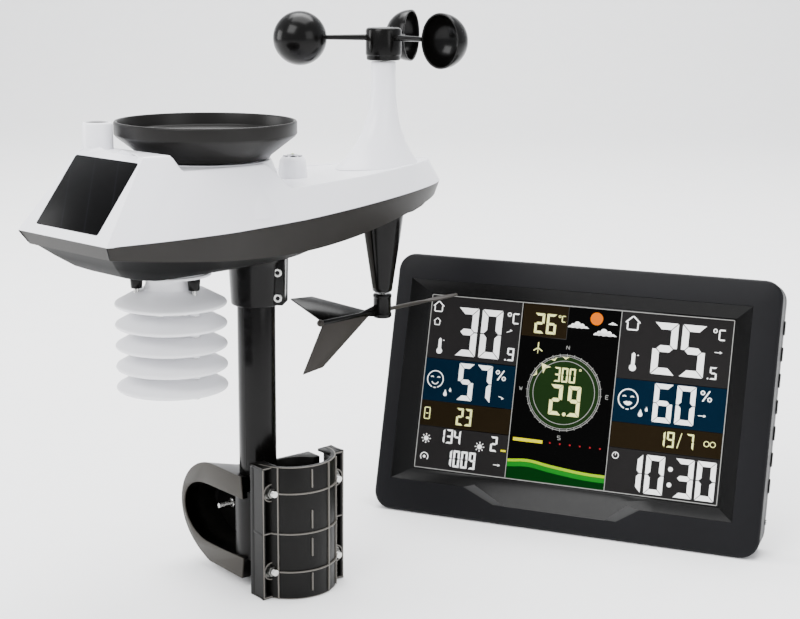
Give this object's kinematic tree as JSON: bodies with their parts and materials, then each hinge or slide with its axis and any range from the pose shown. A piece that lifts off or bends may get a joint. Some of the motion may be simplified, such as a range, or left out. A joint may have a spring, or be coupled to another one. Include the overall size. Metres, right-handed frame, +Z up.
{
  "type": "home weather station",
  "caption": "Outdoor wind, rain, sun and climate sensor unit on a short mast with pole clamp, and a table console with a colour display and prop leg.",
  "frame": {"origin": "on the standing surface, under the middle of the whole set's box", "axes": "+Z up; +X along the set's longest extent, from the sensor unit's stern side to the console; +Y away from the viewer"},
  "size_m": [0.5305, 0.3726, 0.3935],
  "materials": {
    "cover_white": "moulded, glossy",
    "shield_white": "moulded, satin",
    "housing_grey": "moulded, satin",
    "funnel_grey": "moulded, satin",
    "gloss_black": "moulded, glossy",
    "clamp_black": "moulded, satin",
    "case_black": "moulded, satin",
    "solar_glass": "polished",
    "display_glass": "polished",
    "dark_lens": "polished",
    "vial_fluid": "clear",
    "steel": "bright zinc",
    "bearing_brass": "turned",
    "circuit_board": "solder mask",
    "battery_jacket": "printed sleeve"
  },
  "bodies": {
    "sensor_unit": {"lower_housing": "housing_grey", "upper_cover": "cover_white", "solar_panel": "solar_glass", "light_sensor_lens": "dark_lens", "level_vial": "vial_fluid", "bucket_cradle": "housing_grey", "anemometer_stalk": "cover_white", "rotor_bearing": "bearing_brass", "vane_turret": "gloss_black", "vane_bearing": "bearing_brass", "shield_plate_1": "shield_white", "shield_plate_2": "shield_white", "shield_plate_3": "shield_white", "shield_plate_4": "shield_white", "shield_plate_5": "shield_white", "shield_spacer_1": "gloss_black", "shield_spacer_2": "gloss_black", "shield_spacer_3": "gloss_black", "climate_probe": "shield_white", "sensor_board": "circuit_board", "battery_cell_1": "battery_jacket", "battery_cell_2": "battery_jacket", "battery_cell_3": "battery_jacket", "mast_tube": "gloss_black", "mast_socket": "gloss_black", "socket_screw_1": "steel", "socket_screw_2": "steel", "mounting_base": "clamp_black", "base_bolt": "steel"},
    "cup_rotor": {"cup_rotor": "gloss_black", "rotor_shaft": "steel"},
    "wind_vane": {"wind_vane": "gloss_black", "vane_shaft": "steel"},
    "rain_funnel": {"rain_funnel": "funnel_grey", "debris_screen": "gloss_black"},
    "tipping_bucket": {"tipping_bucket": "gloss_black", "bucket_axle": "steel"},
    "sensor_battery_door": {"sensor_battery_door": "housing_grey"},
    "pole_clamp": {"pole_clamp": "clamp_black", "clamp_bolt_1": "steel", "clamp_bolt_2": "steel", "clamp_bolt_3": "steel", "clamp_bolt_4": "steel"},
    "console": {"front_frame": "case_black", "back_cover": "case_black", "display_panel": "display_glass", "console_board": "circuit_board", "power_jack": "gloss_black"},
    "stand_leg": {"stand_leg": "case_black"},
    "console_battery_door": {"console_battery_door": "case_black"},
    "side_button_1": {"side_button_1": "gloss_black"},
    "side_button_2": {"side_button_2": "gloss_black"},
    "side_button_3": {"side_button_3": "gloss_black"},
    "side_button_4": {"side_button_4": "gloss_black"},
    "side_button_5": {"side_button_5": "gloss_black"},
    "side_button_6": {"side_button_6": "gloss_black"},
    "side_button_7": {"side_button_7": "gloss_black"},
    "backlight_switch": {"backlight_switch": "gloss_black"}
  },
  "joints": [
    {"name": "rotor_spin", "type": "hinge", "parent": "sensor_unit", "child": "cup_rotor", "pos_m": [-0.04101, 0.04583, 0.37], "axis": [0, 0, 1], "continuous": true},
    {"name": "vane_spin", "type": "hinge", "parent": "sensor_unit", "child": "wind_vane", "pos_m": [-0.04101, 0.04583, 0.18], "axis": [0, 0, 1], "continuous": true},
    {"name": "funnel_lift", "type": "slide", "parent": "sensor_unit", "child": "rain_funnel", "axis": [0, 0, 1], "range_m": [0, 0.05]},
    {"name": "bucket_tilt", "type": "hinge", "parent": "sensor_unit", "child": "tipping_bucket", "pos_m": [-0.15384, -0.07265, 0.267], "axis": [0.6896, 0.7242, 0], "range_deg": [-15, 15]},
    {"name": "sensor_door_slide", "type": "slide", "parent": "sensor_unit", "child": "sensor_battery_door", "axis": [0, 0, -1], "range_m": [0, 0.03]},
    {"name": "clamp_slide", "type": "slide", "parent": "sensor_unit", "child": "pole_clamp", "axis": [0.6293, -0.7771, 0], "range_m": [0, 0.015]},
    {"name": "console_slide", "type": "slide", "parent": "sensor_unit", "child": "console", "axis": [0.3681, 0.9298, 0], "range_m": [0, 0.05]},
    {"name": "leg_fold", "type": "hinge", "parent": "console", "child": "stand_leg", "pos_m": [0.11368, 0.10537, 0.07583], "axis": [0.9298, -0.3681, 0], "range_deg": [-39, 0]},
    {"name": "console_door_slide", "type": "slide", "parent": "console", "child": "console_battery_door", "axis": [0.3539, 0.8938, -0.2756], "range_m": [0, 0.03]},
    {"name": "button_1", "type": "slide", "parent": "console", "child": "side_button_1", "axis": [-0.9298, 0.3681, 0], "range_m": [0, 0.001], "stiffness_N_per_m": 300},
    {"name": "button_2", "type": "slide", "parent": "console", "child": "side_button_2", "axis": [-0.9298, 0.3681, 0], "range_m": [0, 0.001], "stiffness_N_per_m": 300},
    {"name": "button_3", "type": "slide", "parent": "console", "child": "side_button_3", "axis": [-0.9298, 0.3681, 0], "range_m": [0, 0.001], "stiffness_N_per_m": 300},
    {"name": "button_4", "type": "slide", "parent": "console", "child": "side_button_4", "axis": [-0.9298, 0.3681, 0], "range_m": [0, 0.001], "stiffness_N_per_m": 300},
    {"name": "button_5", "type": "slide", "parent": "console", "child": "side_button_5", "axis": [-0.9298, 0.3681, 0], "range_m": [0, 0.001], "stiffness_N_per_m": 300},
    {"name": "button_6", "type": "slide", "parent": "console", "child": "side_button_6", "axis": [-0.9298, 0.3681, 0], "range_m": [0, 0.001], "stiffness_N_per_m": 300},
    {"name": "button_7", "type": "slide", "parent": "console", "child": "side_button_7", "axis": [-0.9298, 0.3681, 0], "range_m": [0, 0.001], "stiffness_N_per_m": 300},
    {"name": "switch_slide", "type": "slide", "parent": "console", "child": "backlight_switch", "axis": [0.1015, 0.2563, 0.9613], "range_m": [0, 0.005]}
  ]
}
